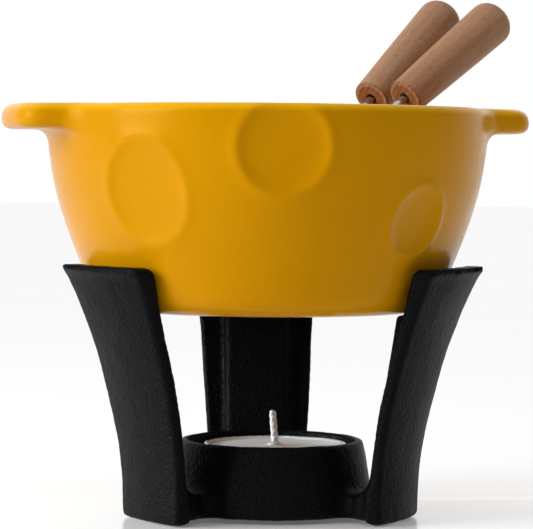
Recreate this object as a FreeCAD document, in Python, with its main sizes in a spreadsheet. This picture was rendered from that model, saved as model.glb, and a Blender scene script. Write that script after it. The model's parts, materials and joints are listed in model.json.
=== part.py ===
import FreeCAD, Part
import math
import os
import Sketcher

# Small fondue set: a glazed pot on a cast three-legged stand, a tealight in the
# stand's cup, and two forks standing in the pot.
# Frame: millimetres, +Z up, origin on the stand's axis at the table plane.
# The front of the set faces -Y.

V = FreeCAD.Vector

SIZES = {
    # stand: cup, arms and base
    "cup_foot_radius": 26.2,
    "cup_rim_radius": 24.2,
    "cup_mouth_radius": 22.0,
    "cup_floor_radius": 21.5,
    "cup_height": 19.6,
    "cup_floor": 3.5,
    "cup_edge": 0.7,
    "cup_side_curve": 50.0,
    "arm_start": 23.6,
    "arm_neck": 29.5,
    "arm_flare": 34.3,
    "arm_end": 36.2,
    "arm_half_width": 8.0,
    "arm_neck_half_width": 9.0,
    "arm_end_half_width": 13.0,
    "arm_height": 6.8,
    # stand: legs
    "leg_foot_radius": 38.7,
    "leg_mid_radius": 42.6,
    "leg_mid_height": 31.0,
    "leg_lower_curve": 132.0,
    "leg_top_radius": 55.1,
    "leg_height": 66.0,
    "leg_upper_curve": 126.0,
    "leg_inner_foot_radius": 35.8,
    "leg_inner_seat_radius": 46.3,
    "leg_inner_top_radius": 50.0,
    "leg_inner_curve": 140.0,
    "leg_edge": 1.2,
    "leg_bow_offset": 16.7,
    "leg_foot_half_width": 13.2,
    "leg_waist_half_width": 14.9,
    "leg_waist_height": 50.0,
    "leg_top_half_width": 18.2,
    "leg_corner": 2.5,
    "leg_side_curve": 420.0,
    "leg_side_upper_curve": 60.0,
    "leg_trim_start": 29.0,
    "leg_trim_length": 40.0,
    "leg_trim_half_width": 34.0,
    "leg_trim_margin": 2.0,
    "leg_first_azimuth": 95.0,
    "leg_count": 3.0,
    # stand: inner rib whose top is the ledge that carries the pot
    "seat_height": 53.8,
    "seat_tip_radius": 40.7,
    "seat_nose_radius": 39.2,
    "seat_nose_drop": 1.7,
    "rib_foot_radius": 31.4,
    "rib_foot_height": 4.0,
    "rib_back_foot_radius": 36.4,
    "rib_back_mid_radius": 40.2,
    "rib_back_mid_height": 31.0,
    "rib_back_top_radius": 48.2,
    "rib_width": 18.0,
    # pot
    "pot_axis_x": -1.0,
    "pot_yaw": 15.0,
    "pot_height": 53.5,
    "pot_base_radius": 40.0,
    "pot_corner_radius": 45.7,
    "pot_corner_height": 4.0,
    "pot_corner_curve": 6.5,
    "pot_wall_radius": 54.7,
    "pot_wall_height": 31.5,
    "pot_wall_curve": 150.0,
    "pot_neck_radius": 57.6,
    "pot_neck_height": 46.0,
    "pot_neck_curve": 85.0,
    "pot_rim_radius": 58.4,
    "pot_rim_edge": 1.8,
    "pot_mouth_radius": 54.0,
    "pot_inner_wall_radius": 50.4,
    "pot_inner_floor_radius": 36.0,
    "pot_inner_corner_radius": 42.6,
    "pot_inner_corner_height": 10.0,
    "pot_inner_corner_curve": 9.0,
    "pot_floor": 4.6,
    # pot ear handles
    "ear_thickness": 5.8,
    "ear_reach": 68.9,
    "ear_root": 55.6,
    "ear_half_width": 18.0,
    "ear_corner": 7.0,
    "ear_tip_curve": 52.0,
    "ear_edge": 2.2,
    "ear_gusset_drop": 4.0,
    "ear_gusset_reach": 62.0,
    "ear_gusset_curve": 4.6,
    "ear_gusset_angle": 33.0,
    # pot dimples: azimuth, height on the pot, ball radius and depth
    "dimple_a_azimuth": 220.0,
    "dimple_a_height": 31.9,
    "dimple_a_ball": 48.0,
    "dimple_a_depth": 2.5,
    "dimple_b_azimuth": 259.5,
    "dimple_b_height": 42.9,
    "dimple_b_ball": 42.0,
    "dimple_b_depth": 1.9,
    "dimple_c_azimuth": 303.7,
    "dimple_c_height": 24.2,
    "dimple_c_ball": 30.0,
    "dimple_c_depth": 1.9,
    "dimple_d_azimuth": 32.0,
    "dimple_d_height": 26.0,
    "dimple_d_ball": 44.0,
    "dimple_d_depth": 2.2,
    "dimple_e_azimuth": 100.0,
    "dimple_e_height": 33.0,
    "dimple_e_ball": 34.0,
    "dimple_e_depth": 2.0,
    "dimple_f_azimuth": 152.0,
    "dimple_f_height": 22.0,
    "dimple_f_ball": 30.0,
    "dimple_f_depth": 1.9,
    # tealight
    "light_axis_x": 1.7,
    "light_radius": 18.8,
    "light_height": 15.0,
    "light_wall": 0.5,
    "wax_height": 13.7,
    "sustainer_radius": 6.0,
    "sustainer_plate": 0.5,
    "sustainer_neck_radius": 1.6,
    "sustainer_neck_height": 3.5,
    "wick_radius": 1.0,
    "wick_straight": 14.6,
    "wick_free": 9.0,
    "wick_lean": 5.0,
    # forks
    "handle_length": 42.2,
    "handle_foot_radius": 5.25,
    "handle_top_radius": 6.35,
    "handle_foot_edge": 0.6,
    "handle_top_edge": 2.8,
    "handle_mouth_radius": 1.6,
    "handle_mouth_depth": 3.0,
    "shaft_radius": 1.05,
    "shaft_grip": 20.0,
    "fork_reach": 87.5,
    "prong_radius": 0.95,
    "prong_offset": 2.6,
    "prong_length": 20.0,
    "prong_point": 4.0,
    "prong_tip_radius": 0.25,
    "fork_front_x": 37.0,
    "fork_front_y": 31.5,
    "fork_front_z": 111.1,
    "fork_front_heading": 41.0,
    "fork_front_rise": 33.4,
    "fork_back_x": 28.0,
    "fork_back_y": 39.0,
    "fork_back_z": 111.0,
    "fork_back_heading": 51.0,
    "fork_back_rise": 35.9,
}


class Size:
    """A number together with the sheet expression that drives it."""

    def __init__(self, value, text):
        self.value = value
        self.text = text

    def __add__(self, other):
        other = as_size(other)
        return Size(self.value + other.value, "(%s + %s)" % (self.text, other.text))

    def __sub__(self, other):
        other = as_size(other)
        return Size(self.value - other.value, "(%s - %s)" % (self.text, other.text))

    def __mul__(self, other):
        other = as_size(other)
        return Size(self.value * other.value, "(%s * %s)" % (self.text, other.text))

    def __neg__(self):
        return Size(-self.value, "(0 - %s)" % self.text)


def as_size(number):
    if isinstance(number, Size):
        return number
    return Size(float(number), repr(float(number)))


def size(alias):
    return Size(SIZES[alias], "Sizes." + alias)


def fill_sheet(doc):
    """Write every driving dimension with its alias."""
    sheet = doc.addObject("Spreadsheet::Sheet", "Sizes")
    for row, (alias, value) in enumerate(SIZES.items(), start=1):
        sheet.set("A%d" % row, alias)
        sheet.set("B%d" % row, str(value))
        sheet.setAlias("B%d" % row, alias)
    doc.recompute()
    return sheet


def origin_plane(body, role):
    for item in body.Origin.OriginFeatures:
        if item.Role == role:
            return item
    raise ValueError("no origin plane " + role)


def new_sketch(body, name, role, offset=None):
    """A sketch on one of the body's own origin planes, moved along its normal by offset."""
    sketch = body.newObject("Sketcher::SketchObject", name)
    sketch.AttachmentSupport = (origin_plane(body, role), [""])
    sketch.MapMode = "FlatFace"
    if offset is not None:
        sketch.AttachmentOffset = FreeCAD.Placement(V(0, 0, offset.value), FreeCAD.Rotation())
        sketch.setExpression("AttachmentOffset.Base.z", offset.text)
    return sketch


def fix_point(sketch, geo, pos, point):
    """Tie one curve end to its two driving coordinates."""
    for kind, axis, coordinate in (("DistanceX", -2, point[0]), ("DistanceY", -1, point[1])):
        coordinate = as_size(coordinate)
        if coordinate.value == 0.0:
            sketch.addConstraint(Sketcher.Constraint("PointOnObject", geo, pos, axis))
            continue
        index = sketch.addConstraint(
            Sketcher.Constraint(kind, -1, 1, geo, pos, coordinate.value))
        sketch.setExpression("Constraints[%d]" % index, coordinate.text)


def arc_between(start, end, radius, side):
    """Circular arc from start to end, its centre to the left (side 1) or right (side -1)."""
    chord = end - start
    across = V(-chord.y, chord.x, 0).normalize()
    middle = (start + end) * 0.5
    rise = math.sqrt(radius * radius - 0.25 * chord.Length * chord.Length)
    centre = middle + across * (side * rise)
    return Part.Arc(start, centre - across * (side * radius), end)


def draw_outline(sketch, points, arcs=None):
    """Closed outline through points. arcs maps a segment number to (radius, side)."""
    arcs = arcs or {}
    corners = [V(as_size(x).value, as_size(y).value, 0) for x, y in points]
    ends = []
    for number, start in enumerate(corners):
        end = corners[(number + 1) % len(corners)]
        if number in arcs:
            radius, side = arcs[number]
            geo = sketch.addGeometry(arc_between(start, end, radius.value, side), False)
            forward = (sketch.getPoint(geo, 1) - start).Length < (sketch.getPoint(geo, 2) - start).Length
            ends.append((geo, 1, 2) if forward else (geo, 2, 1))
        else:
            geo = sketch.addGeometry(Part.LineSegment(start, end), False)
            ends.append((geo, 1, 2))
    for number, (geo, first, last) in enumerate(ends):
        after = ends[(number + 1) % len(ends)]
        sketch.addConstraint(Sketcher.Constraint("Coincident", geo, last, after[0], after[1]))
    for (geo, first, last), point in zip(ends, points):
        fix_point(sketch, geo, first, point)
    for number, (radius, side) in arcs.items():
        geo = ends[number][0]
        index = sketch.addConstraint(Sketcher.Constraint("Radius", geo, radius.value))
        sketch.setExpression("Constraints[%d]" % index, radius.text)


def revolve(body, name, sketch, axis="V_Axis", angle=360.0, both=False):
    feature = body.newObject("PartDesign::Revolution", name)
    feature.Profile = sketch
    feature.ReferenceAxis = (sketch, [axis])
    feature.Angle = angle
    feature.Midplane = both
    return feature


def pad(body, name, sketch, length, both=False):
    feature = body.newObject("PartDesign::Pad", name)
    feature.Profile = sketch
    feature.Length = length.value
    feature.setExpression("Length", length.text)
    feature.Midplane = both
    return feature


def make_stand(doc):
    """One casting: a cup on the axis, three arms, and three flared legs with inner ribs."""
    body = doc.addObject("PartDesign::Body", "stand_casting")

    cup = new_sketch(body, "CupProfile", "XZ_Plane")
    edge = size("cup_edge")
    draw_outline(cup, [
        (0, 0),
        (size("cup_foot_radius") - edge, 0),
        (size("cup_foot_radius"), edge),
        (size("cup_rim_radius"), size("cup_height") - edge),
        (size("cup_rim_radius") - edge, size("cup_height")),
        (size("cup_mouth_radius") + edge, size("cup_height")),
        (size("cup_mouth_radius"), size("cup_height") - edge),
        (size("cup_floor_radius"), size("cup_floor")),
        (0, size("cup_floor")),
    ], {
        1: (edge * 1.05, 1),
        2: (size("cup_side_curve"), 1),
        3: (edge * 1.05, 1),
        5: (edge * 1.05, 1),
    })
    revolve(body, "Cup", cup)

    arm = new_sketch(body, "ArmOutline", "XY_Plane")
    side = [
        (size("arm_start"), size("arm_half_width")),
        (size("arm_neck"), size("arm_neck_half_width")),
        (size("arm_flare"), size("arm_end_half_width")),
        (size("arm_end"), size("arm_end_half_width")),
    ]
    draw_outline(arm, [(x, -y) for x, y in side] + side[::-1])
    arm_pad = pad(body, "Arm", arm, size("arm_height"))

    leg = new_sketch(body, "LegProfile", "XZ_Plane")
    leg_edge = size("leg_edge")
    axis_line = leg.addGeometry(
        Part.LineSegment(V(-SIZES["leg_bow_offset"], 0, 0), V(-SIZES["leg_bow_offset"], 50, 0)), True)
    top = size("leg_height")
    draw_outline(leg, [
        (size("leg_inner_foot_radius"), 0),
        (size("leg_foot_radius") - leg_edge, 0),
        (size("leg_foot_radius"), leg_edge),
        (size("leg_mid_radius"), size("leg_mid_height")),
        (size("leg_top_radius"), top - leg_edge),
        (size("leg_top_radius") - leg_edge, top),
        (size("leg_inner_top_radius") + leg_edge, top),
        (size("leg_inner_top_radius"), top - leg_edge),
        (size("leg_inner_seat_radius"), size("seat_height")),
    ], {
        1: (leg_edge * 1.05, 1),
        2: (size("leg_lower_curve"), -1),
        3: (size("leg_upper_curve"), -1),
        4: (leg_edge * 1.05, 1),
        6: (leg_edge * 1.05, 1),
        8: (size("leg_inner_curve"), 1),
    })
    fix_point(leg, axis_line, 1, (-size("leg_bow_offset"), 0))
    fix_point(leg, axis_line, 2, (-size("leg_bow_offset"), 50))
    leg_turn = revolve(body, "Leg", leg, "Axis0", 44.0, True)

    trim = new_sketch(body, "LegSides", "YZ_Plane", size("leg_trim_start"))
    corner = size("leg_corner")
    low = -size("leg_trim_margin")
    high = top + size("leg_trim_margin")
    for sign in (1, -1):
        draw_outline(trim, [
            (size("leg_foot_half_width") * sign, low),
            (size("leg_trim_half_width") * sign, low),
            (size("leg_trim_half_width") * sign, high),
            ((size("leg_top_half_width") - corner) * sign, high),
            ((size("leg_top_half_width") - corner) * sign, top),
            (size("leg_top_half_width") * sign, top - corner),
            (size("leg_waist_half_width") * sign, size("leg_waist_height")),
        ], {
            4: (corner * 1.02, -sign),
            5: (size("leg_side_upper_curve"), sign),
            6: (size("leg_side_curve"), sign),
        })
    leg_trim = body.newObject("PartDesign::Pocket", "LegTrim")
    leg_trim.Profile = trim
    leg_trim.Length = SIZES["leg_trim_length"]
    leg_trim.setExpression("Length", "Sizes.leg_trim_length")
    leg_trim.Reversed = True

    rib = new_sketch(body, "RibProfile", "XZ_Plane")
    draw_outline(rib, [
        (size("rib_foot_radius"), size("rib_foot_height")),
        (size("rib_back_foot_radius"), size("rib_foot_height")),
        (size("rib_back_mid_radius"), size("rib_back_mid_height")),
        (size("rib_back_top_radius"), size("seat_height")),
        (size("seat_tip_radius"), size("seat_height")),
        (size("seat_nose_radius"), size("seat_height") - size("seat_nose_drop")),
    ])
    rib_pad = pad(body, "Rib", rib, size("rib_width"), True)

    legs = body.newObject("PartDesign::PolarPattern", "Legs")
    legs.Originals = [arm_pad, leg_turn, leg_trim, rib_pad]
    legs.Axis = (cup, ["V_Axis"])
    legs.Angle = 360.0
    legs.Occurrences = int(SIZES["leg_count"])
    legs.setExpression("Occurrences", "Sizes.leg_count")
    body.Tip = legs
    doc.recompute()

    body.Placement = FreeCAD.Placement(
        V(0, 0, 0), FreeCAD.Rotation(V(0, 0, 1), SIZES["leg_first_azimuth"]))
    return body


def wall_point(height):
    """Outer radius and outward tilt of the pot wall at a height above its underside."""
    span = SIZES["pot_neck_height"] - SIZES["pot_wall_height"]
    upper = (SIZES["pot_neck_radius"] - SIZES["pot_wall_radius"]) / span
    lower = (SIZES["pot_wall_radius"] - SIZES["pot_corner_radius"]) / (
        SIZES["pot_wall_height"] - SIZES["pot_corner_height"])
    slope = upper if height > SIZES["pot_wall_height"] else lower
    radius = SIZES["pot_wall_radius"] + slope * (height - SIZES["pot_wall_height"])
    return radius, math.atan(slope)


def ear_outline_edges(shape):
    """Names of the ears' upper and lower outline edges, outside the pot's wall."""
    top = SIZES["pot_height"]
    levels = (top, top - SIZES["ear_thickness"])
    names = []
    for number, edge in enumerate(shape.Edges, start=1):
        box = edge.BoundBox
        middle = edge.valueAt(0.5 * (edge.FirstParameter + edge.LastParameter))
        flat = box.ZLength < 1e-4 and min(abs(box.ZMin - level) for level in levels) < 1e-4
        if flat and math.hypot(middle.x, middle.y) > SIZES["pot_rim_radius"] + 0.5:
            names.append("Edge%d" % number)
    return names


def make_pot(doc):
    """Glazed pot: turned wall with a rounded rim, two ears at the rim, round dimples."""
    body = doc.addObject("PartDesign::Body", "pot")

    wall = new_sketch(body, "PotProfile", "XZ_Plane")
    height = size("pot_height")
    edge = size("pot_rim_edge")
    draw_outline(wall, [
        (0, 0),
        (size("pot_base_radius"), 0),
        (size("pot_corner_radius"), size("pot_corner_height")),
        (size("pot_wall_radius"), size("pot_wall_height")),
        (size("pot_neck_radius"), size("pot_neck_height")),
        (size("pot_rim_radius"), height - edge),
        (size("pot_rim_radius") - edge, height),
        (size("pot_mouth_radius") + edge, height),
        (size("pot_mouth_radius"), height - edge),
        (size("pot_inner_wall_radius"), size("pot_wall_height")),
        (size("pot_inner_corner_radius"), size("pot_inner_corner_height")),
        (size("pot_inner_floor_radius"), size("pot_floor")),
        (0, size("pot_floor")),
    ], {
        1: (size("pot_corner_curve"), 1),
        2: (size("pot_wall_curve"), 1),
        3: (size("pot_neck_curve"), 1),
        5: (edge * 1.02, 1),
        7: (edge * 1.02, 1),
        9: (size("pot_wall_curve"), -1),
        10: (size("pot_inner_corner_curve"), -1),
    })
    revolve(body, "Wall", wall)

    ears = new_sketch(body, "EarOutline", "XY_Plane", height - size("ear_thickness"))
    tip = size("ear_reach") - size("ear_corner")
    wide = size("ear_half_width")
    near = wide - size("ear_corner")
    for sign in (1, -1):
        draw_outline(ears, [
            (size("ear_root") * sign, -wide * sign),
            (tip * sign, -wide * sign),
            (size("ear_reach") * sign, -near * sign),
            (size("ear_reach") * sign, near * sign),
            (tip * sign, wide * sign),
            (size("ear_root") * sign, wide * sign),
            ((size("ear_root") - 1.0) * sign, 0),
        ], {
            1: (size("ear_corner") * 1.02, 1),
            2: (size("ear_tip_curve"), 1),
            3: (size("ear_corner") * 1.02, 1),
        })
    ear_pad = pad(body, "Ears", ears, size("ear_thickness"))
    doc.recompute()
    ear_edges = body.newObject("PartDesign::Fillet", "EarEdges")
    ear_edges.Base = (ear_pad, ear_outline_edges(ear_pad.Shape))
    ear_edges.Radius = SIZES["ear_edge"]
    ear_edges.setExpression("Radius", "Sizes.ear_edge")
    doc.recompute()

    gusset = new_sketch(body, "GussetProfile", "XZ_Plane")
    under = height - size("ear_thickness")
    draw_outline(gusset, [
        (size("pot_neck_radius") - 1.5, under - size("ear_gusset_drop")),
        (size("pot_neck_radius") - 0.3, under - size("ear_gusset_drop")),
        (size("ear_gusset_reach"), under),
        (size("ear_gusset_reach"), under + 1.0),
        (size("pot_neck_radius") - 1.5, under + 1.0),
    ], {1: (size("ear_gusset_curve"), -1)})
    gusset_turn = revolve(body, "Gusset", gusset, "V_Axis", SIZES["ear_gusset_angle"], True)
    gussets = body.newObject("PartDesign::PolarPattern", "Gussets")
    gussets.Originals = [gusset_turn]
    gussets.Axis = (wall, ["V_Axis"])
    gussets.Angle = 360.0
    gussets.Occurrences = 2
    body.Tip = gussets
    doc.recompute()

    bore = new_sketch(body, "MouthProfile", "XZ_Plane")
    draw_outline(bore, [
        (0, size("pot_wall_height")),
        (size("pot_inner_wall_radius"), size("pot_wall_height")),
        (size("pot_mouth_radius"), height - edge),
        (size("pot_mouth_radius") + edge, height),
        (size("pot_mouth_radius") + edge, height + 1.0),
        (0, height + 1.0),
    ], {2: (edge * 1.02, -1)})
    mouth = body.newObject("PartDesign::Groove", "Mouth")
    mouth.Profile = bore
    mouth.ReferenceAxis = (bore, ["V_Axis"])
    mouth.Angle = 360.0
    doc.recompute()

    feature = mouth
    for letter in "abcdef":
        name = "dimple_" + letter
        azimuth = math.radians(SIZES[name + "_azimuth"])
        level = SIZES[name + "_height"]
        ball = SIZES[name + "_ball"]
        radius, tilt = wall_point(level)
        stand_off = ball - SIZES[name + "_depth"]
        out = radius + stand_off * math.cos(tilt)
        feature = body.newObject("PartDesign::SubtractiveSphere", "Dimple" + letter.upper())
        feature.Radius = ball
        feature.setExpression("Radius", "Sizes." + name + "_ball")
        feature.Placement = FreeCAD.Placement(
            V(out * math.cos(azimuth), out * math.sin(azimuth), level - stand_off * math.sin(tilt)),
            FreeCAD.Rotation())
    body.Tip = feature
    doc.recompute()

    body.Placement = FreeCAD.Placement(
        V(SIZES["pot_axis_x"], 0, SIZES["seat_height"]),
        FreeCAD.Rotation(V(0, 0, 1), SIZES["pot_yaw"]))
    return body


def turned_body(doc, label, points, arcs=None):
    """A body made by turning one closed profile about its own Z axis."""
    body = doc.addObject("PartDesign::Body", label)
    sketch = new_sketch(body, "Profile", "XZ_Plane")
    draw_outline(sketch, points, arcs)
    revolve(body, "Turned", sketch)
    doc.recompute()
    return body


def make_tealight(doc):
    """Aluminium tray, wax fill, metal wick foot and wick."""
    base = FreeCAD.Placement(V(SIZES["light_axis_x"], 0, SIZES["cup_floor"]), FreeCAD.Rotation())
    wall = size("light_wall")
    inside = size("light_radius") - wall
    plate_top = wall + size("sustainer_plate")
    neck_top = plate_top + size("sustainer_neck_height")

    tray = turned_body(doc, "tealight_cup", [
        (0, 0),
        (size("light_radius"), 0),
        (size("light_radius"), size("light_height")),
        (inside, size("light_height")),
        (inside, wall),
        (0, wall),
    ])
    wax = turned_body(doc, "tealight_wax", [
        (size("sustainer_radius"), wall),
        (inside, wall),
        (inside, size("wax_height")),
        (size("wick_radius"), size("wax_height")),
        (size("wick_radius"), neck_top),
        (size("sustainer_neck_radius"), neck_top),
        (size("sustainer_neck_radius"), plate_top),
        (size("sustainer_radius"), plate_top),
    ])
    foot = turned_body(doc, "wick_sustainer", [
        (0, wall),
        (size("sustainer_radius"), wall),
        (size("sustainer_radius"), plate_top),
        (size("sustainer_neck_radius"), plate_top),
        (size("sustainer_neck_radius"), neck_top),
        (size("wick_radius"), neck_top),
        (size("wick_radius"), plate_top),
        (0, plate_top),
    ])

    straight = doc.addObject("Part::Cylinder", "WickStraight")
    straight.setExpression("Radius", "Sizes.wick_radius")
    straight.setExpression("Height", "Sizes.wick_straight - Sizes.light_wall - Sizes.sustainer_plate")
    straight.Placement = FreeCAD.Placement(V(0, 0, plate_top.value), FreeCAD.Rotation())
    bend = doc.addObject("Part::Sphere", "WickBend")
    bend.setExpression("Radius", "Sizes.wick_radius")
    bend.Placement = FreeCAD.Placement(V(0, 0, SIZES["wick_straight"]), FreeCAD.Rotation())
    free = doc.addObject("Part::Cylinder", "WickFree")
    free.setExpression("Radius", "Sizes.wick_radius")
    free.setExpression("Height", "Sizes.wick_free")
    free.Placement = FreeCAD.Placement(
        V(0, 0, SIZES["wick_straight"]), FreeCAD.Rotation(V(0, 1, 0), -SIZES["wick_lean"]))
    wick = doc.addObject("Part::MultiFuse", "wick")
    wick.Shapes = [straight, bend, free]
    doc.recompute()

    nodes = [tray, wax, foot, wick]
    for node in nodes:
        node.Placement = base
    return nodes


def make_handle(doc, label):
    """Turned wooden handle with a blind bore for the fork's shaft."""
    length = size("handle_length")
    foot_edge = size("handle_foot_edge")
    top_edge = size("handle_top_edge")
    return turned_body(doc, label, [
        (size("handle_mouth_radius"), 0),
        (size("handle_foot_radius") - foot_edge, 0),
        (size("handle_foot_radius"), foot_edge),
        (size("handle_top_radius"), length - top_edge),
        (size("handle_top_radius") - top_edge, length),
        (0, length),
        (0, size("shaft_grip")),
        (size("shaft_radius"), size("shaft_grip")),
        (size("shaft_radius"), size("handle_mouth_depth")),
        (size("handle_mouth_radius"), size("handle_mouth_depth")),
    ], {1: (foot_edge * 1.02, 1), 3: (top_edge * 1.02, 1)})


def make_steel(doc, label):
    """Round steel shaft that ends in two parallel prongs joined by a bow."""
    bow_level = -(SIZES["fork_reach"] - SIZES["prong_length"] - SIZES["prong_point"])
    shaft_end = bow_level + SIZES["prong_offset"]
    body = turned_body(doc, label, [
        (0, -(size("fork_reach") - size("prong_length") - size("prong_point") - size("prong_offset"))),
        (size("shaft_radius"), -(
            size("fork_reach") - size("prong_length") - size("prong_point") - size("prong_offset"))),
        (size("shaft_radius"), size("shaft_grip")),
        (0, size("shaft_grip")),
    ])
    bow = body.newObject("PartDesign::AdditiveTorus", "Bow")
    bow.setExpression("Radius1", "Sizes.prong_offset")
    bow.setExpression("Radius2", "Sizes.prong_radius")
    bow.Angle3 = 180.0
    bow.Placement = FreeCAD.Placement(V(0, 0, bow_level), FreeCAD.Rotation(V(1, 0, 0), 90))
    feature = bow
    for sign in (1, -1):
        side = SIZES["prong_offset"] * sign
        prong = body.newObject("PartDesign::AdditiveCylinder", "Prong")
        prong.setExpression("Radius", "Sizes.prong_radius")
        prong.setExpression("Height", "Sizes.prong_length")
        prong.Placement = FreeCAD.Placement(
            V(side, 0, bow_level - SIZES["prong_length"]), FreeCAD.Rotation())
        feature = body.newObject("PartDesign::AdditiveCone", "Point")
        feature.setExpression("Radius1", "Sizes.prong_tip_radius")
        feature.setExpression("Radius2", "Sizes.prong_radius")
        feature.setExpression("Height", "Sizes.prong_point")
        feature.Placement = FreeCAD.Placement(
            V(side, 0, -SIZES["fork_reach"]), FreeCAD.Rotation())
    body.Tip = feature
    doc.recompute()
    return body


def fork_placement(name):
    """Local +Z along the fork towards its handle, local X level."""
    heading = math.radians(SIZES[name + "_heading"])
    rise = math.radians(SIZES[name + "_rise"])
    along = V(math.cos(rise) * math.cos(heading), math.cos(rise) * math.sin(heading), math.sin(rise))
    level = V(-math.sin(heading), math.cos(heading), 0)
    start = V(SIZES[name + "_x"], SIZES[name + "_y"], SIZES[name + "_z"])
    return FreeCAD.Placement(start, FreeCAD.Rotation(level, along.cross(level), along, "ZXY"))


def check_and_export(doc, nodes):
    """Refuse any broken object, then write one STEP file for each node."""
    for item in doc.Objects:
        if "Invalid" in item.State or "Error" in item.State:
            raise RuntimeError("broken object: " + item.Name)
    os.makedirs("parts", exist_ok=True)
    for node in nodes:
        shape = node.Shape
        if shape.isNull() or not shape.isValid() or len(shape.Solids) != 1:
            raise RuntimeError("bad shape: %s (%d solids)" % (node.Label, len(shape.Solids)))
        shape.exportStep(os.path.join("parts", node.Label + ".step"))
        print(node.Label, round(shape.Volume, 1), shape.BoundBox)


def main():
    doc = FreeCAD.newDocument("fondue_set")
    fill_sheet(doc)
    nodes = [make_stand(doc), make_pot(doc)]
    nodes += make_tealight(doc)
    for name in ("fork_front", "fork_back"):
        handle = make_handle(doc, name + "_handle")
        steel = make_steel(doc, name + "_steel")
        for node in (handle, steel):
            node.Placement = fork_placement(name)
        nodes += [handle, steel]
    doc.recompute()
    check_and_export(doc, nodes)


main()
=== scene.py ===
import json
import math

import bpy
import numpy as np
from mathutils import Matrix, Vector, noise


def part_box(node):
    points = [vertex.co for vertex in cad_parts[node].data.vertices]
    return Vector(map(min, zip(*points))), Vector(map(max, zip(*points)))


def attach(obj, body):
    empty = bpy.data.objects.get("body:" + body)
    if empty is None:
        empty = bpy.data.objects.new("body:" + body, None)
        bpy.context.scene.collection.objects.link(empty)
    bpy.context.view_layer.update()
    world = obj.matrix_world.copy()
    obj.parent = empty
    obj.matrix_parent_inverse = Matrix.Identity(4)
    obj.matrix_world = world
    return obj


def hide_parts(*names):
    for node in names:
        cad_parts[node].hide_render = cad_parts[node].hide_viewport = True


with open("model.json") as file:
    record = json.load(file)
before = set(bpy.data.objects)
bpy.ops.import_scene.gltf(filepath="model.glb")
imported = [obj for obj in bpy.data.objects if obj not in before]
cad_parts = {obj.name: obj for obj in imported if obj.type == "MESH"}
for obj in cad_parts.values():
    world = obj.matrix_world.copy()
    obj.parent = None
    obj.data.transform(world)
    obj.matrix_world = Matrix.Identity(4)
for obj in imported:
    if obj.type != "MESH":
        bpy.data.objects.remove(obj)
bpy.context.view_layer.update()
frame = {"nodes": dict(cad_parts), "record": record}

MM = 0.001


# ---------------------------------------------------------------- camera

def add_camera():
    """A long lens in front of the set, turned by yaw, tipped down by pitch and tilted by roll."""
    place = (0.0, -0.714, 0.0912)
    yaw = math.radians(0.0806)
    pitch = math.radians(2.0469)
    roll = math.radians(0.5)
    ahead = Vector((-math.sin(yaw), math.cos(yaw), 0.0))
    side = Vector((math.cos(yaw), math.sin(yaw), 0.0))
    up = Vector((0.0, 0.0, 1.0))
    forward = ahead * math.cos(pitch) - up * math.sin(pitch)
    above = up * math.cos(pitch) + ahead * math.sin(pitch)
    right = side * math.cos(roll) + above * math.sin(roll)
    top = above * math.cos(roll) - side * math.sin(roll)
    data = bpy.data.cameras.new("camera")
    data.sensor_width = 36.0
    data.lens = 182.364
    data.clip_start = 0.05
    data.clip_end = 20.0
    cam = bpy.data.objects.new("camera", data)
    turn = Matrix((right, top, -forward)).transposed().to_4x4()
    cam.matrix_world = Matrix.Translation(place) @ turn
    bpy.context.collection.objects.link(cam)
    bpy.context.scene.camera = cam


# ---------------------------------------------------------------- shapes as distance functions

def soft_max(a, b, k):
    """Largest of two distances, with the edge between them rounded over k."""
    h = np.clip(0.5 + 0.5 * (a - b) / k, 0.0, 1.0)
    return b + (a - b) * h + k * h * (1.0 - h)


def soft_min(a, b, k):
    return -soft_max(-a, -b, k)


def smooth_curve(points):
    """A smooth function of one variable through (position, value) points."""
    at = np.array([p[0] for p in points], float)
    value = np.array([p[1] for p in points], float)
    step = np.diff(at)
    slope = np.diff(value) / step
    tangent = np.empty_like(value)
    tangent[0], tangent[-1] = slope[0], slope[-1]
    tangent[1:-1] = (slope[:-1] * step[1:] + slope[1:] * step[:-1]) / (step[1:] + step[:-1])

    def evaluate(x):
        x = np.asarray(x, float)
        i = np.clip(np.searchsorted(at, x) - 1, 0, len(step) - 1)
        t = np.clip((x - at[i]) / step[i], 0.0, 1.0)
        over = x - np.clip(x, at[0], at[-1])
        h = step[i]
        a = value[i] * (2 * t**3 - 3 * t**2 + 1) + tangent[i] * h * (t**3 - 2 * t**2 + t)
        b = value[i + 1] * (-2 * t**3 + 3 * t**2) + tangent[i + 1] * h * (t**3 - t**2)
        edge = np.where(over < 0, tangent[0], tangent[-1])
        return a + b + over * edge

    return evaluate


def slant(curve, x):
    """Length factor that turns a horizontal gap to a sloped curve into a true distance."""
    return 1.0 / np.sqrt(1.0 + ((curve(x + 0.2) - curve(x - 0.2)) / 0.4) ** 2)


def turned(points, degrees):
    """Points rotated about Z."""
    a = math.radians(degrees)
    x = points[:, 0] * math.cos(a) - points[:, 1] * math.sin(a)
    y = points[:, 0] * math.sin(a) + points[:, 1] * math.cos(a)
    return np.stack([x, y, points[:, 2]], 1)


# stand ------------------------------------------------------------------

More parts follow.
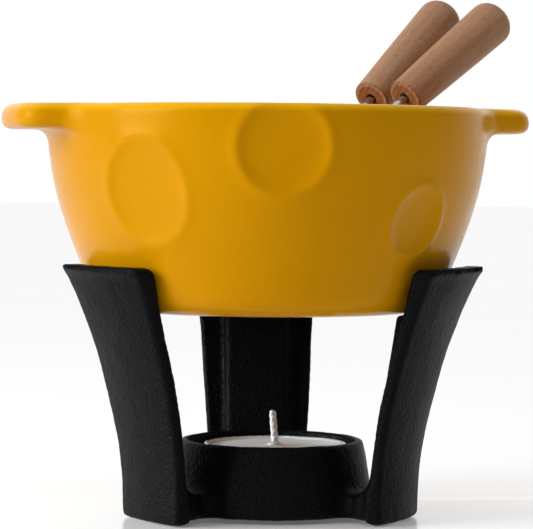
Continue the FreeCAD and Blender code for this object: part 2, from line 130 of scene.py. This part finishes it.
# Sizes in mm. Each curve gives a size at a height, but ARM_HALF at a distance from the axis.
LEG_AZIMUTH = 95.0
LEG_TOP = 66.0
SEAT = 53.8
BOW = 16.7
LEG_OUT = smooth_curve([(0, 39.0), (10, 39.25), (20, 40.45), (31, 42.9), (42, 45.9), (53, 49.9),
                        (60, 52.9), (63, 54.4), (66, 56.8)])
LEG_IN = smooth_curve([(0, 35.8), (14, 36.6), (28, 38.9), (41, 42.2), (53.8, 46.3), (66, 50.2)])
LEG_HALF = smooth_curve([(0, 13.3), (16, 13.9), (32, 14.9), (50, 16.0), (58, 17.0), (66, 18.5)])
RIB_IN = smooth_curve([(0, 30.9), (10, 32.2), (30, 35.6), (51, 39.1), (66, 41.6)])
CUP_OUT = smooth_curve([(0, 26.1), (5, 26.25), (10, 25.9), (15, 25.1), (19.6, 24.0)])
CUP_IN = smooth_curve([(0, 21.4), (3.5, 21.5), (19.6, 22.1)])
ARM_HALF = smooth_curve([(18, 8.4), (24, 8.6), (28, 9.4), (31, 10.4), (34, 11.6), (37, 12.0)])
CUP_SHIFT = 0.7
CUP_TOP = 19.6
CUP_FLOOR = 3.5
CUP_LIFT = 0.8
RIB_HALF = 9.0
ARM_TOP = 6.8
ARM_FROM, ARM_TO = 12.0, 33.8


def stand_distance(p):
    """Distance to the stand: three bowed legs with seat ribs, three arms and the burner cup."""
    x, y, z = p[:, 0], p[:, 1], p[:, 2]
    radius = np.hypot(x, y)
    cup_radius = np.hypot(x - CUP_SHIFT, y)
    angle = np.degrees(np.arctan2(y, x)) - LEG_AZIMUTH
    local = np.radians((angle + 60.0) % 120.0 - 60.0)
    x, y = radius * np.cos(local), radius * np.sin(local)
    bow = np.hypot(x + BOW, y) - BOW

    outer = (bow - LEG_OUT(z)) * slant(LEG_OUT, z)
    inner = (LEG_IN(z) - bow) * slant(LEG_IN, z)
    flank = (np.abs(y) - LEG_HALF(z)) * slant(LEG_HALF, z)
    outline = soft_max(flank, z - LEG_TOP, 2.8)
    leg = soft_max(soft_max(outer, inner, 1.3), outline, 1.4)

    rib = soft_max((RIB_IN(z) - x) * slant(RIB_IN, z), np.abs(y) - RIB_HALF, 1.8)
    rib = soft_max(rib, z - SEAT, 1.0)
    rib = np.maximum(rib, bow - (LEG_IN(z) + LEG_OUT(z)) * 0.5)
    upright = soft_min(leg, rib, 2.0)

    arm = soft_max(np.abs(y) - ARM_HALF(x), z - ARM_TOP, 2.4)
    arm = np.maximum(np.maximum(arm, bow - ARM_TO), ARM_FROM - x)
    body = soft_max((cup_radius - CUP_OUT(z)) * slant(CUP_OUT, z), z - CUP_TOP, 1.2)
    low = soft_min(arm, body, 3.4)
    whole = soft_min(low, upright, 5.0)
    hollow = soft_max(cup_radius - CUP_IN(z), CUP_FLOOR - z, 1.4)
    whole = soft_max(whole, -hollow, 1.2)
    raised = CUP_LIFT * np.clip((37.0 - radius) / 3.0, 0.0, 1.0)
    return soft_max(whole, raised - z, 1.5)


# pot --------------------------------------------------------------------

POT_AT = (-1.0, 0.0, 53.8)
POT_YAW = 15.0
POT_H = 53.5
POT_OUT = smooth_curve([(0, 44.2), (4, 46.0), (9, 48.0), (13, 49.5), (17, 51.1), (24, 53.6),
                        (31.5, 55.8), (39, 57.2), (46, 57.95), (50, 58.1), (53.5, 58.22)])
POT_IN = smooth_curve([(0, 38.0), (4.6, 40.0), (10, 42.6), (20, 46.9), (31.5, 50.4),
                       (42, 52.8), (53.5, 54.0)])
POT_FLOOR = 4.6
# the part of the wall, by height on the pot, that holds the dimples, and how deep in it they reach
WALL_FROM, WALL_TO = 8.0, 50.5
DIMPLE_REACH = 3.5
EAR_UNDER = 47.0
EAR_TIP = (70.2, 70.25)
EAR_CURVE = 52.0
EAR_HALF = 18.0
EAR_FROM = 40.0
RIM_TOP = (POT_AT[2] + POT_H) * MM
# azimuth in the row frame, height on the pot, half width, half height, lean, depth, lip
DIMPLES = [
    (237.0, 31.4, 11.1, 12.8, 8.0, 3.3, 0.28),
    (274.2, 42.7, 11.1, 11.5, 0.0, 3.2, 0.40),
    (314.5, 24.4, 8.2, 8.7, -12.0, 2.8, 0.38),
    (47.0, 26.0, 11.6, 13.2, 0.0, 2.4, 0.25),
    (115.0, 33.0, 10.6, 11.2, 0.0, 2.2, 0.25),
    (167.0, 22.0, 9.6, 9.8, 0.0, 2.1, 0.25),
]


def dimple_depth(azimuth, z, radius):
    """How far the wall is pressed in by the dimples (negative where a lip stands proud)."""
    total = np.zeros_like(z)
    for at, level, wide, high, lean, depth, lip in DIMPLES:
        across = np.radians((azimuth - at + 180.0) % 360.0 - 180.0) * radius
        rise = (z - level) * 1.03
        a = math.radians(lean)
        u = (across * math.cos(a) + rise * math.sin(a)) / wide
        v = (rise * math.cos(a) - across * math.sin(a)) / high
        q2 = u * u + v * v
        bowl = 1.0 - q2 * 0.94
        soft = 0.5 * (bowl + np.sqrt(bowl * bowl + 0.02)) * np.exp(-np.clip(q2 - 1.0, 0, 9) * 3.0)
        total += depth * soft**1.3
        total -= lip * np.exp(-((np.sqrt(q2) - 1.10) / 0.15) ** 2)
    return total


def pot_distance(p):
    """Distance to the pot: a turned wall with dimples, two ears at the rim and a hollow."""
    q = turned(p - np.array(POT_AT), -POT_YAW)
    x, y, z = np.abs(q[:, 0]), q[:, 1], q[:, 2]
    radius = np.hypot(q[:, 0], q[:, 1])
    azimuth = np.degrees(np.arctan2(q[:, 1], q[:, 0])) + POT_YAW

    wall = (radius - POT_OUT(z)) * slant(POT_OUT, z)
    near = np.clip(1.0 + wall / DIMPLE_REACH, 0.0, 1.0)
    wall = wall + dimple_depth(azimuth, z, radius) * near

    tip = np.hypot(x + EAR_CURVE - np.where(q[:, 0] < 0, *EAR_TIP), y) - EAR_CURVE
    root = np.clip((63.0 - x) / 11.0, 0.0, 1.5)
    plan = soft_max(tip, np.abs(y) - EAR_HALF - 5.0 * root**2, 7.0)
    ear = soft_max(plan, EAR_UNDER - z, 2.9)
    ear = np.maximum(ear, EAR_FROM - x)
    out_on_ear = np.clip((x - 60.0) / 7.0, 0.0, 1.0)

    whole = soft_min(wall, ear, 3.8)
    whole = soft_max(whole, z - POT_H, 3.0 + 0.9 * out_on_ear)
    whole = soft_max(whole, -z, 5.5)
    hollow = soft_max((radius - POT_IN(z)) * slant(POT_IN, z), POT_FLOOR - z, 9.0)
    return soft_max(whole, -hollow, 3.0)


# ---------------------------------------------------------------- meshes from distance functions

def remeshed(node, voxel):
    """Even, welded mesh of a CAD node, not yet in its final shape."""
    source = bpy.data.objects.new("remesh_source", frame["nodes"][node].data.copy())
    bpy.context.collection.objects.link(source)
    step = source.modifiers.new("voxels", "REMESH")
    step.mode = "VOXEL"
    step.voxel_size = voxel * MM
    step.adaptivity = 0.0
    graph = bpy.context.evaluated_depsgraph_get()
    mesh = bpy.data.meshes.new_from_object(source.evaluated_get(graph))
    old = source.data
    bpy.data.objects.remove(source)
    bpy.data.meshes.remove(old)
    return mesh


def plain_wall(mesh):
    """Moves the pot wall's outer points out past its dimples, so that none is nearer the inside."""
    p = points_of(mesh)
    q = p - np.array(POT_AT)
    radius, z = np.hypot(q[:, 0], q[:, 1]), q[:, 2]
    outer = (radius > POT_IN(z) + 1.0) & (radius < POT_OUT(z))
    outer &= (z > WALL_FROM) & (z < WALL_TO)
    q[outer, :2] *= (POT_OUT(z) / radius)[outer, None]
    mesh.vertices.foreach_set("co", ((q + np.array(POT_AT)) * MM).ravel())
    mesh.update()


def gradient(distance, p, d0):
    e = 0.02
    g = np.empty_like(p)
    for axis in range(3):
        q = p.copy()
        q[:, axis] += e
        g[:, axis] = (distance(q) - d0) / e
    return g


def points_of(mesh):
    flat = np.empty(len(mesh.vertices) * 3)
    mesh.vertices.foreach_get("co", flat)
    return flat.reshape(-1, 3) / MM


def settle(mesh, distance, rounds=4):
    """Moves a mesh's points onto the surface where distance is zero, evenly spread."""
    count = len(mesh.vertices)
    p = points_of(mesh)
    edges = np.empty(len(mesh.edges) * 2, int)
    mesh.edges.foreach_get("vertices", edges)
    a, b = edges.reshape(-1, 2).T
    ends = np.concatenate([a, b])
    others = np.concatenate([b, a])
    degree = np.bincount(ends, minlength=count)

    def pull(q, times):
        for _ in range(times):
            d = distance(q)
            g = gradient(distance, q, d)
            size = np.maximum((g * g).sum(1), 0.05)
            move = g * (d / size)[:, None]
            length = np.linalg.norm(move, axis=1)
            q = q - move * np.minimum(1.0, 0.8 / np.maximum(length, 1e-9))[:, None]
        return q

    p = pull(p, 3)
    for _ in range(rounds):
        mean = np.stack([np.bincount(ends, p[others, i], minlength=count) for i in range(3)], 1)
        p = p + 0.6 * (mean / degree[:, None] - p)
        p = pull(p, 1)
    p = pull(p, 2)
    mesh.vertices.foreach_set("co", (p * MM).ravel())
    mesh.update()
    mesh.polygons.foreach_set("use_smooth", np.ones(len(mesh.polygons), bool))


def roughen(mesh, amount, scale, seed):
    """Pushes points in and out by a fine even grain."""
    p = points_of(mesh)
    out = np.empty(len(mesh.vertices) * 3)
    mesh.vertices.foreach_get("normal", out)
    start = p / scale + np.array((seed, seed * 1.7, -seed))
    height = np.array([noise.noise(at) + 0.5 * noise.noise(at * 2.3) for at in map(Vector, start)])
    p += out.reshape(-1, 3) * (height * amount)[:, None]
    p[:, 2] = np.maximum(p[:, 2], 0.0)
    mesh.vertices.foreach_set("co", (p * MM).ravel())
    mesh.update()


def closed_rings(name, rings):
    """Smooth mesh through equal rings of points (mm), with a point closing each end."""
    count = len(rings[0])
    points = [tuple(p) for ring in rings for p in ring]
    faces = []
    for i in range(len(rings) - 1):
        a, b = i * count, (i + 1) * count
        faces += [(a + k, a + (k + 1) % count, b + (k + 1) % count, b + k) for k in range(count)]
    for ring, flip in ((0, True), (len(rings) - 1, False)):
        points.append(tuple(np.mean(rings[ring], axis=0)))
        tip, a = len(points) - 1, ring * count
        for k in range(count):
            pair = (a + (k + 1) % count, a + k)
            faces.append((tip, *pair) if flip else (tip, *pair[::-1]))
    mesh = bpy.data.meshes.new(name)
    mesh.from_pydata((np.array(points) * MM).tolist(), [], faces)
    mesh.polygons.foreach_set("use_smooth", np.ones(len(mesh.polygons), bool))
    mesh.update()
    return mesh


def eased(points, step):
    """Points along a profile, at most step apart, with the given corners kept."""
    out = [points[0]]
    for (r0, z0), (r1, z1) in zip(points, points[1:]):
        parts = max(1, math.ceil(math.hypot(r1 - r0, z1 - z0) / step))
        out += [(r0 + (r1 - r0) * k / parts, z0 + (z1 - z0) * k / parts) for k in range(1, parts + 1)]
    return out


def arc(center, radius, start, end, parts=6):
    angles = [math.radians(start + (end - start) * k / parts) for k in range(parts + 1)]
    return [(center[0] + radius * math.cos(a), center[1] + radius * math.sin(a)) for a in angles]


def turned_rings(profile, center, sides, warp=None):
    """Rings of points that turn a (radius, height) profile about an upright axis."""
    angle = np.arange(sides) * 2 * math.pi / sides
    rings = []
    for radius, height in profile:
        r = np.full(sides, float(radius))
        z = np.full(sides, float(height))
        if warp:
            r, z = warp(r, z, angle)
        rings.append(np.stack([center[0] + r * np.cos(angle), center[1] + r * np.sin(angle), z], 1))
    return rings


def piece(name, mesh, body, node, material):
    obj = bpy.data.objects.new(name, mesh)
    bpy.context.collection.objects.link(obj)
    mesh.materials.clear()
    mesh.materials.append(material)
    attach(obj, body)
    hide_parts(node)
    return obj


# ---------------------------------------------------------------- materials

class Nodes:
    """Short-hand for building one material's node tree."""

    def __init__(self, name):
        self.material = bpy.data.materials.new(name)
        self.material.use_nodes = True
        self.tree = self.material.node_tree
        self.shader = self.tree.nodes["Principled BSDF"]

    def add(self, kind, inputs=None, **settings):
        node = self.tree.nodes.new(kind)
        for key, value in settings.items():
            setattr(node, key, value)
        for key, value in (inputs or {}).items():
            self.feed(node.inputs[key], value)
        return node

    def feed(self, socket, value):
        """Links a socket to another one, or gives it a plain value."""
        if isinstance(value, bpy.types.NodeSocket):
            self.tree.links.new(value, socket)
        else:
            socket.default_value = value

    def place(self, scale=(1, 1, 1)):
        coords = self.add("ShaderNodeTexCoord")
        mapping = self.add("ShaderNodeMapping", {"Vector": coords.outputs["Object"]})
        mapping.inputs["Scale"].default_value = scale
        return mapping.outputs["Vector"]

    def noise(self, vector, scale, detail=3.0, roughness=0.5, distortion=0.0):
        return self.add("ShaderNodeTexNoise", {
            "Vector": vector, "Scale": scale, "Detail": detail,
            "Roughness": roughness, "Distortion": distortion}).outputs["Fac"]

    def ramp(self, value, stops):
        node = self.add("ShaderNodeValToRGB", {"Fac": value})
        points = node.color_ramp.elements
        while len(points) < len(stops):
            points.new(0.5)
        for point, (at, color) in zip(points, stops):
            point.position = at
            point.color = (*color, 1.0)
        return node.outputs["Color"]

    def range(self, value, low, high, to_low=0.0, to_high=1.0):
        return self.add("ShaderNodeMapRange", {
            "Value": value, "From Min": low, "From Max": high,
            "To Min": to_low, "To Max": to_high}).outputs["Result"]

    def mix(self, factor, a, b):
        node = self.add("ShaderNodeMix", {0: factor}, data_type="RGBA")
        for key, value in ((6, a), (7, b)):
            self.feed(node.inputs[key], (*value, 1.0) if isinstance(value, tuple) else value)
        return node.outputs[2]

    def bump(self, height, distance, strength=1.0, normal=None):
        inputs = {"Height": height, "Distance": distance, "Strength": strength}
        if normal is not None:
            inputs["Normal"] = normal
        return self.add("ShaderNodeBump", inputs).outputs["Normal"]

    def finish(self, **values):
        for key, value in values.items():
            self.feed(self.shader.inputs[key.replace("_", " ")], value)
        return self.material


def cast_iron():
    n = Nodes("cast_iron")
    at = n.place()
    grain = n.noise(at, 1900.0, 3.0, 0.6)
    coarse = n.noise(at, 1000.0, 2.0, 0.5)
    cells = n.add("ShaderNodeTexVoronoi", {"Vector": at, "Scale": 900.0}).outputs["Distance"]
    pits = n.range(cells, 0.10, 0.42, 1.0, 0.0)
    cloud = n.noise(at, 45.0, 3.0, 0.5)
    color = n.ramp(cloud, [(0.3, (0.0019, 0.0021, 0.0029)), (0.7, (0.0029, 0.0031, 0.0041))])
    color = n.mix(n.range(grain, 0.35, 0.7, 0.0, 0.5), color, (0.0040, 0.0043, 0.0052))
    color = n.mix(pits, color, (0.0012, 0.0012, 0.0015))
    normal = n.bump(coarse, 0.00030, 0.7)
    normal = n.bump(grain, 0.00014, 0.8, normal)
    normal = n.bump(n.range(pits, 0.0, 1.0, 1.0, 0.0), 0.00022, 0.7, normal)
    rough = n.range(cloud, 0.3, 0.7, 0.40, 0.50)
    return n.finish(Base_Color=color, Roughness=rough, Normal=normal, Specular_IOR_Level=0.06)


def yellow_glaze():
    n = Nodes("yellow_glaze")
    at = n.place()
    cloud = n.noise(at, 22.0, 3.0, 0.5)
    fine = n.noise(at, 900.0, 2.0, 0.5)
    wave = n.noise(at, 120.0, 2.0, 0.4)
    color = n.ramp(cloud, [(0.3, (0.560, 0.242, 0.0005)), (0.7, (0.590, 0.260, 0.0007))])
    speck = n.range(n.noise(at, 520.0, 2.0, 0.5), 0.60, 0.80, 0.0, 0.35)
    color = n.mix(speck, color, (0.52, 0.214, 0.0005))
    # Painted highlight: a lighter yellow band along the rim's top rounding, the last 2.2 mm to 0.8 mm below the
    # rim top.
    height = n.add("ShaderNodeSeparateXYZ", {0: at}).outputs["Z"]
    edge = n.range(height, RIM_TOP - 0.0022, RIM_TOP - 0.0008, 0.0, 0.85)
    color = n.mix(edge, color, (0.80, 0.42, 0.0012))
    normal = n.bump(wave, 0.00005, 0.6)
    normal = n.bump(fine, 0.000008, 0.5, normal)
    rough = n.range(wave, 0.3, 0.7, 0.19, 0.27)
    return n.finish(Base_Color=color, Roughness=rough, Normal=normal, Specular_IOR_Level=0.16,
                    Specular_Tint=(1.0, 0.62, 0.10, 1.0))


def aluminium():
    n = Nodes("tealight_aluminium")
    at = n.place(scale=(1.0, 1.0, 0.25))
    streak = n.noise(at, 900.0, 3.0, 0.6)
    cloud = n.noise(n.place(), 60.0, 2.0, 0.5)
    color = n.ramp(cloud, [(0.3, (0.70, 0.70, 0.71)), (0.7, (0.80, 0.80, 0.81))])
    normal = n.bump(streak, 0.00003, 0.7)
    rough = n.range(streak, 0.3, 0.7, 0.22, 0.38)
    return n.finish(Base_Color=color, Roughness=rough, Normal=normal, Metallic=1.0)


def wax():
    n = Nodes("wax")
    at = n.place()
    cloud = n.noise(at, 90.0, 4.0, 0.55)
    fine = n.noise(at, 700.0, 3.0, 0.5)
    color = n.ramp(cloud, [(0.35, (0.62, 0.680, 0.730)), (0.65, (0.68, 0.740, 0.790))])
    normal = n.bump(cloud, 0.00025, 0.5)
    normal = n.bump(fine, 0.00003, 0.6, normal)
    rough = n.range(fine, 0.3, 0.7, 0.34, 0.48)
    return n.finish(Base_Color=color, Roughness=rough, Normal=normal,
                    Subsurface_Weight=0.25, Subsurface_Scale=0.002)


def wick_cotton():
    n = Nodes("wick_cotton")
    at = n.place()
    fibre = n.noise(at, 2600.0, 3.0, 0.6)
    color = n.ramp(fibre, [(0.3, (0.84, 0.86, 0.88)), (0.7, (0.93, 0.94, 0.95))])
    normal = n.bump(fibre, 0.0001, 0.8)
    rough = n.range(fibre, 0.3, 0.7, 0.7, 0.9)
    return n.finish(Base_Color=color, Roughness=rough, Normal=normal)


def steel(name, base, rough_low, rough_high):
    n = Nodes(name)
    at = n.place()
    fine = n.noise(at, 1600.0, 3.0, 0.6)
    cloud = n.noise(at, 70.0, 2.0, 0.5)
    dark = tuple(c * 0.85 for c in base)
    color = n.ramp(cloud, [(0.3, dark), (0.7, base)])
    normal = n.bump(fine, 0.00001, 0.5)
    rough = n.range(fine, 0.3, 0.7, rough_low, rough_high)
    return n.finish(Base_Color=color, Roughness=rough, Normal=normal, Metallic=1.0)


def beech(name, axis, foot, seed):
    """Fine-grained wood whose grain runs along axis, darker on the sawn end at foot metres along it."""
    n = Nodes(name)
    turn = Vector(axis).rotation_difference(Vector((0, 0, 1))).to_euler("XYZ")
    coords = n.add("ShaderNodeTexCoord").outputs["Object"]
    turned_at = n.add("ShaderNodeVectorRotate", {"Vector": coords, "Rotation": turn},
                      rotation_type="EULER_XYZ").outputs["Vector"]
    shifted = n.add("ShaderNodeVectorMath", {0: turned_at, 1: (seed, seed * 0.7, seed * 0.3)},
                    operation="ADD").outputs["Vector"]

    def stretched(scale):
        return n.add("ShaderNodeVectorMath", {0: shifted, 1: scale}, operation="MULTIPLY").outputs["Vector"]

    rings = n.add("ShaderNodeTexWave", {
        "Vector": stretched((1.0, 1.0, 0.10)), "Scale": 120.0, "Distortion": 5.0,
        "Detail": 3.0, "Detail Scale": 1.4, "Detail Roughness": 0.6},
        wave_type="BANDS", bands_direction="X", wave_profile="SIN").outputs["Fac"]
    fleck = n.noise(stretched((1.0, 1.0, 0.30)), 2500.0, 3.0, 0.6)
    spots = n.noise(stretched((1.0, 1.0, 0.45)), 1500.0, 2.0, 0.6)
    fibre = n.noise(stretched((1.0, 1.0, 0.06)), 1300.0, 3.0, 0.6)
    cloud = n.noise(stretched((1.0, 1.0, 0.4)), 110.0, 3.0, 0.5)
    color = n.ramp(rings, [(0.15, (0.385, 0.190, 0.088)), (0.85, (0.345, 0.166, 0.074))])
    color = n.mix(n.range(cloud, 0.35, 0.65, 0.0, 0.55), color, (0.450, 0.245, 0.128))
    color = n.mix(n.range(spots, 0.50, 0.70, 0.0, 0.40), color, (0.250, 0.105, 0.040))
    color = n.mix(n.range(fleck, 0.54, 0.70, 0.0, 0.60), color, (0.190, 0.080, 0.032))
    color = n.mix(n.range(fibre, 0.35, 0.70, 0.0, 0.25), color, (0.240, 0.110, 0.048))
    along = n.add("ShaderNodeVectorMath", {0: coords, 1: tuple(axis)},
                  operation="DOT_PRODUCT").outputs["Value"]
    end = n.range(along, foot + 0.0004, foot + 0.0007, 1.0, 0.0)
    pores = n.range(n.noise(coords, 1900.0, 2.0, 0.5), 0.45, 0.7, 0.0, 0.7)
    growth = n.add("ShaderNodeTexWave", {
        "Vector": shifted, "Scale": 210.0, "Distortion": 2.5, "Detail": 2.0, "Detail Scale": 1.5},
        wave_type="BANDS", bands_direction="X", wave_profile="SAW").outputs["Fac"]
    sawn = n.mix(growth, (0.400, 0.158, 0.050), (0.245, 0.090, 0.030))
    sawn = n.mix(pores, sawn, (0.130, 0.045, 0.017))
    color = n.mix(end, color, sawn)
    normal = n.bump(fibre, 0.00006, 0.7)
    normal = n.bump(fleck, 0.00004, 0.6, normal)
    rough = n.range(fibre, 0.3, 0.7, 0.48, 0.62)
    return n.finish(Base_Color=color, Roughness=rough, Normal=normal)


# ---------------------------------------------------------------- light and floor

def add_area(name, place, target, width, height, power):
    data = bpy.data.lights.new(name, "AREA")
    data.shape = "RECTANGLE"
    data.size = width
    data.size_y = height
    data.energy = power
    lamp = bpy.data.objects.new(name, data)
    lamp.location = place
    aim = Vector(target) - Vector(place)
    lamp.rotation_euler = aim.to_track_quat("-Z", "Y").to_euler()
    bpy.context.collection.objects.link(lamp)
    return lamp


def floor_material():
    n = Nodes("floor")
    at = n.place()
    cloud = n.noise(at, 4.0, 3.0, 0.5)
    color = n.ramp(cloud, [(0.3, (0.86, 0.86, 0.86)), (0.7, (0.88, 0.88, 0.88))])
    return n.finish(Base_Color=color, Roughness=0.2,
                    Emission_Color=(1.0, 1.0, 1.0, 1.0), Emission_Strength=0.1)


def add_world():
    """White behind and overhead, dim on the camera's side, as in a light tent with an open front."""
    world = bpy.data.worlds.new("studio")
    world.use_nodes = True
    tree = world.node_tree
    back = tree.nodes["Background"]
    coords = tree.nodes.new("ShaderNodeTexCoord")
    split = tree.nodes.new("ShaderNodeSeparateXYZ")
    tree.links.new(coords.outputs["Generated"], split.inputs[0])

    def ramp(axis, low, high, dark, bright):
        node = tree.nodes.new("ShaderNodeMapRange")
        node.interpolation_type = "SMOOTHSTEP"
        for key, value in (("From Min", low), ("From Max", high), ("To Min", dark), ("To Max", bright)):
            node.inputs[key].default_value = value
        tree.links.new(split.outputs[axis], node.inputs["Value"])
        return node.outputs["Result"]

    most = tree.nodes.new("ShaderNodeMath")
    most.operation = "MAXIMUM"
    tree.links.new(ramp("Y", 0.26, 0.68, 0.10, 1.0), most.inputs[0])
    tree.links.new(ramp("Z", 0.35, 0.85, 0.10, 0.9), most.inputs[1])
    tree.links.new(most.outputs[0], back.inputs["Strength"])
    back.inputs["Color"].default_value = (1.0, 1.0, 1.0, 1.0)
    bpy.context.scene.world = world


def add_studio():
    mesh = bpy.data.meshes.new("floor")
    half = 6.0
    drop = 0.0003   # keeps the floor's face off the feet's
    corners = [(-half, -half, 0), (half, -half, 0), (half, half, 0), (-half, half, 0)]
    mesh.from_pydata(corners, [], [(0, 1, 2, 3)])
    floor = bpy.data.objects.new("floor", mesh)
    floor.location.z = -drop
    mesh.materials.append(floor_material())
    bpy.context.collection.objects.link(floor)
    add_world()
    add_area("key", (-0.78, -0.36, 0.34), (0, 0, 0.07), 0.5, 0.55, 7.5)
    add_area("fill", (0.75, -0.35, 0.25), (0, 0, 0.07), 0.4, 0.5, 0.20)
    candle = add_area("candle", (-0.60, -0.06, 0.17), (0.001, 0, 0.019), 0.06, 0.03, 0.013)
    candle.data.spread = math.radians(9)
    bpy.context.scene.view_settings.view_transform = "Standard"


# ---------------------------------------------------------------- build

def add_cup(x, y, reach, floor, top):
    """Thin spun cup with a fluted wall and a rolled edge."""
    count, depth, bead = 48, 0.11, 0.42

    def flutes(r, z, angle):
        inside = (z > floor + 1.5) & (z < top - 2.2) & (r > 10)
        return r - np.where(inside, depth - depth * np.cos(count * angle), 0.0), z

    outer = [(1.0, floor), (reach - 1.4, floor)] + arc((reach - 1.25, floor + 0.9), 0.9, -90, 0)
    outer += [(reach - 0.33, floor + 1.8), (reach - 0.33, top - 1.2)]
    roll = arc((reach - bead, top - bead), bead, -60, 200, 12)
    inner = [(reach - 0.62, top - 1.3), (reach - 0.62, floor + 1.2),
             (reach - 1.5, floor + 0.3), (1.0, floor + 0.3)]
    rings = turned_rings(eased(outer + roll + inner, 0.9), (x, y), 288, flutes)
    piece("tealight_cup_spun", closed_rings("tealight_cup_spun", rings), "tealight",
          "tealight_cup", aluminium())


def add_wax(x, y, reach, floor, wax_top):
    """Wax that climbs the cup's wall and the wick as it sets, with a slightly uneven face."""
    def cooled(r, z, angle):
        px, py = r * np.cos(angle), r * np.sin(angle)
        lift = [noise.noise(Vector((a * 0.22, b * 0.22, 4.0))) + 0.4 * noise.noise(Vector((a * 0.7, b * 0.7, 9.0)))
                for a, b in zip(px, py)]
        return r, z + np.where(z > floor + 6, 0.10 * np.array(lift), 0.0)

    rim = reach - 0.66
    level = wax_top + 0.45
    surface = [(rim, level + 0.35)] + arc((rim - 1.5, level + 1.6), 1.55, -32, -88, 8)
    surface += [(rim - 4.0, level), (7.0, level), (3.2, level + 0.12), (2.2, level + 0.4),
                (1.7, level + 0.8), (1.35, level + 1.0), (0.4, level + 1.0)]
    wax_profile = [(0.4, floor + 0.9), (rim - 0.8, floor + 0.9), (rim, floor + 1.7), *surface]
    rings = turned_rings(eased(wax_profile, 0.55), (x, y), 160, cooled)
    piece("wax_cooled", closed_rings("wax_cooled", rings), "tealight", "tealight_wax", wax())


def add_wick(x, y, floor):
    """Three-strand wick, upright from its foot to a knee and leaning from there to its tip."""
    low, high = (np.array(c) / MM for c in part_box("wick"))
    radius, sides, steps = 0.98, 36, 150
    start = np.array((x, y, low[2]))
    knee = np.array((x, y, floor + 14.6))
    tip = np.array((low[0] + radius, y, high[2] - 0.1))
    first = knee[2] - start[2]
    lean = np.linalg.norm(tip - knee)
    aim = (tip - knee) / lean
    length = np.linalg.norm(knee - start) + lean
    angle = np.arange(sides) * 2 * math.pi / sides
    rings = []
    for k in range(steps + 1):
        s = length * k / steps
        center = start + np.array((0, 0, min(s, first))) + aim * max(0.0, s - first)
        twist = s * 1.15
        strands = 0.5 + 0.5 * np.abs(np.cos(1.5 * (angle - twist)))
        fray = 1.0 + 0.10 * noise.noise(Vector((0.0, 3.0, s * 0.9)))
        r = (0.60 + 0.36 * strands) * fray
        end = (length - s) / 0.8
        if end < 1:
            r = r * math.sqrt(max(0.05, 1 - (1 - end) ** 2))
        rings.append(np.stack([center[0] + r * np.cos(angle), center[1] + r * np.sin(angle),
                               np.full(sides, center[2])], 1))
    piece("wick_braided", closed_rings("wick_braided", rings), "tealight", "wick", wick_cotton())


def add_tealight():
    low, high = (np.array(c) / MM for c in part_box("tealight_cup"))
    x, y = (low[:2] + high[:2]) / 2
    reach = (high[0] - low[0]) / 2
    floor, top = low[2], high[2]
    wax_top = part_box("tealight_wax")[1][2] / MM
    add_cup(x, y, reach, floor, top)
    add_wax(x, y, reach, floor, wax_top)
    add_wick(x, y, floor)


def turned_handle(name, node, axis):
    """Turned beech handle on the CAD handle's own axis: drilled sawn foot, slow taper, domed top."""
    p = points_of(frame["nodes"][node].data)
    along = p @ axis
    foot, top = along.min(), along.max()
    ring = p[along < foot + 0.05]
    center = (ring.max(0) + ring.min(0)) / 2
    center += axis * (foot - center @ axis)
    level = np.cross((0.0, 0.0, 1.0), axis)
    level /= np.linalg.norm(level)
    rise = np.cross(axis, level)
    length = top - foot + 0.45
    start = -0.6
    dome = 3.9
    hole, hole_end, edge = 1.5, 2.9, 0.25
    flat, corner = 4.7, 0.55
    profile = [(0.2, hole_end), (hole, hole_end), (hole, start + edge)]
    profile += arc((hole + edge, start + edge), edge, 180, 270, 3)
    profile += [(flat, start)] + arc((flat, start + corner), corner, -90, -5, 5)
    for k in range(1, 30):
        t = k / 30
        width = 5.27 + 1.10 * t + 0.05 * math.sin(math.pi * t)
        profile.append((width, start + 0.6 + (length - dome - 0.7) * t))
    profile += arc((6.36 - dome, length - dome), dome, 2, 88, 12) + [(0.2, length)]
    sides = 96
    angle = np.arange(sides) * 2 * math.pi / sides
    rings = []
    for r, s in eased(profile, 0.8):
        grain = np.array([noise.noise(Vector((3.0 * math.cos(a), 3.0 * math.sin(a), s * 0.12 + foot)))
                          for a in angle])
        size = r + (0.035 * grain if r > 2 else 0.0)
        offset = np.outer(size * np.cos(angle), level) + np.outer(size * np.sin(angle), rise)
        rings.append(center + axis * s + offset)
    return closed_rings(name, rings), (foot + start) * MM


def paint(node, material):
    """Gives a CAD node that stays visible a better material."""
    for slot in frame["nodes"][node].material_slots:
        slot.material = material


def add_forks():
    axes = {j["child"]: j["axis"] for j in frame["record"]["behaviour"]["joints"]}
    metal = steel("fork_steel", (0.62, 0.62, 0.63), 0.12, 0.22)
    for number, fork in enumerate(("fork_front", "fork_back")):
        axis = np.array(axes[fork], float)
        axis /= np.linalg.norm(axis)
        mesh, foot = turned_handle(fork + "_beech", fork + "_handle", axis)
        wood = beech(fork + "_beech", axis, foot, 0.31 * (number + 1))
        piece(fork + "_beech", mesh, fork, fork + "_handle", wood)
        paint(fork + "_steel", metal)


def main():
    add_camera()
    iron = cast_iron()
    glaze = yellow_glaze()

    stand_mesh = remeshed("stand_casting", 0.62)
    settle(stand_mesh, stand_distance)
    roughen(stand_mesh, 0.10, 6.0, 7.7)
    roughen(stand_mesh, 0.035, 1.5, 3.1)
    piece("stand_cast", stand_mesh, "stand", "stand_casting", iron)

    pot_mesh = remeshed("pot", 0.83)
    plain_wall(pot_mesh)
    settle(pot_mesh, pot_distance)
    piece("pot_glazed", pot_mesh, "pot", "pot", glaze)

    paint("wick_sustainer", steel("sustainer_steel", (0.55, 0.55, 0.56), 0.3, 0.45))
    add_tealight()
    add_forks()
    add_studio()


main()
